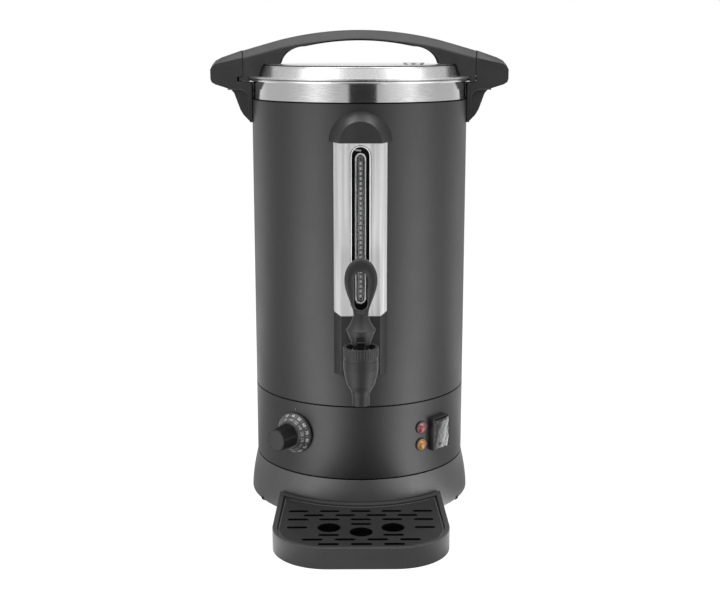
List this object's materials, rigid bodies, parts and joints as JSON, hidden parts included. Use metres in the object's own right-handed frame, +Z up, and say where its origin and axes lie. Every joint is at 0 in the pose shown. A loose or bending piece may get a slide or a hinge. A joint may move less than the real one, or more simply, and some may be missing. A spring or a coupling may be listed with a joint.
{
  "type": "hot water urn",
  "caption": "Electric hot water urn with a locking lid and carrying handle, level gauge, lever tap, thermostat dial, rocker switch and a loose drip tray.",
  "frame": {"origin": "on the urn's vertical axis, at the height of the table it stands on", "axes": "+Z up; -Y to the front, where the tap and the drip tray are; +X to the user's right, where the switch is"},
  "size_m": [0.296, 0.346, 0.4759],
  "materials": {
    "grey_paint": "fine textured charcoal paint",
    "charcoal_plastic": "moulded, finely textured",
    "tap_plastic": "moulded, satin",
    "black_plastic": "moulded",
    "knob_plastic": "moulded, satin",
    "dial_grey": "satin, printed figures",
    "lid_steel": "polished stainless steel",
    "tank_steel": "brushed stainless steel",
    "cover_steel": "brushed stainless steel",
    "zinc_steel": "zinc plated",
    "spring_steel": "bright wire",
    "aluminium": "cast",
    "brass": "turned",
    "silicone_red": "soft",
    "silicone_white": "soft",
    "black_rubber": "soft",
    "clear_glass": "clear",
    "clear_boot": "clear soft plastic",
    "lens_red": "red lens",
    "lens_amber": "amber lens",
    "scale_white": "printed",
    "phenolic_brown": "moulded",
    "cream_plastic": "moulded",
    "copper": "drawn tube",
    "red_plastic": "moulded"
  },
  "bodies": {
    "urn": {"base_ring": "charcoal_plastic", "bottom_plate": "zinc_steel", "base_screws": "zinc_steel", "rubber_feet": "black_rubber", "tie_rods": "zinc_steel", "tie_nuts": "zinc_steel", "control_band": "grey_paint", "joint_ring": "black_plastic", "heat_shield": "aluminium", "body_shell": "grey_paint", "neck_seal": "black_rubber", "inner_tank": "tank_steel", "heat_spreader": "aluminium", "heating_element": "zinc_steel", "boil_dry_disc": "phenolic_brown", "gauge_cover": "cover_steel", "gauge_cap": "charcoal_plastic", "gauge_housing": "charcoal_plastic", "gauge_backing": "black_plastic", "gauge_scale": "scale_white", "sight_glass": "clear_glass", "gauge_grommets": "silicone_red", "gauge_nuts": "brass", "tap_body": "tap_plastic", "tap_collar": "tap_plastic", "tap_shank": "tank_steel", "shank_nut": "brass", "tank_washers": "silicone_red", "tap_spring": "spring_steel", "handle_left": "charcoal_plastic", "handle_right": "charcoal_plastic", "handle_screws": "zinc_steel", "thermostat": "phenolic_brown", "thermostat_bulb": "copper", "lamp_red": "lens_red", "lamp_amber": "lens_amber", "lamp_holders": "black_plastic", "switch_body": "black_plastic", "switch_boot": "clear_boot", "reset_cutout": "black_plastic", "cable_gland": "black_plastic", "gland_nut": "black_plastic", "terminal_block": "cream_plastic"},
    "valve": {"valve_stem": "cream_plastic", "valve_cup": "silicone_white", "lever_pin": "tank_steel"},
    "lever": {"tap_lever": "tap_plastic"},
    "seal": {"lid_seal": "black_rubber"},
    "lid": {"lid_pan": "lid_steel", "lid_handle": "charcoal_plastic", "lid_screws": "zinc_steel", "lid_vent": "lid_steel"},
    "knob": {"control_knob": "knob_plastic", "dial_skirt": "dial_grey", "thermostat_shaft": "brass"},
    "rocker": {"switch_rocker": "knob_plastic"},
    "reset": {"reset_button": "red_plastic"},
    "tray": {"drip_tray": "charcoal_plastic"},
    "grate": {"drip_grate": "tap_plastic"}
  },
  "joints": [
    {"name": "lid_lift", "type": "slide", "parent": "urn", "child": "seal", "axis": [0, 0, 1], "range_m": [0, 0.2]},
    {"name": "lid_turn", "type": "hinge", "parent": "seal", "child": "lid", "pos_m": [0, 0, 0.425], "axis": [0, 0, 1], "range_deg": [0, 35]},
    {"name": "valve_lift", "type": "slide", "parent": "urn", "child": "valve", "axis": [0, 0, 1], "range_m": [0, 0.0042], "stiffness_N_per_m": 80, "springref_m": -0.004, "deforming": ["tap_spring"]},
    {"name": "lever_pull", "type": "hinge", "parent": "valve", "child": "lever", "pos_m": [0, -0.155, 0.185], "axis": [1, 0, 0], "range_deg": [0, 35]},
    {"name": "knob_turn", "type": "hinge", "parent": "urn", "child": "knob", "pos_m": [-0.06424, -0.08682, 0.0835], "axis": [0.5948, 0.8039, 0], "range_deg": [0, 270]},
    {"name": "switch_rock", "type": "hinge", "parent": "urn", "child": "rocker", "pos_m": [0.07625, -0.07363, 0.0804], "axis": [0.6947, 0.7193, 0], "range_deg": [0, 18]},
    {"name": "reset_press", "type": "slide", "parent": "urn", "child": "reset", "axis": [-0.5, -0.866, 0], "range_m": [0, 0.0015], "stiffness_N_per_m": 800, "springref_m": -0.0005},
    {"name": "tray_slide", "type": "slide", "parent": "urn", "child": "tray", "axis": [0, -1, 0], "range_m": [0, 0.12]},
    {"name": "grate_lift", "type": "slide", "parent": "tray", "child": "grate", "axis": [0, 0, 1], "range_m": [0, 0.045]}
  ],
  "couplings": [
    {"joint": "valve_lift", "follows": "lever_pull", "m_per_rad": 0.00655}
  ]
}
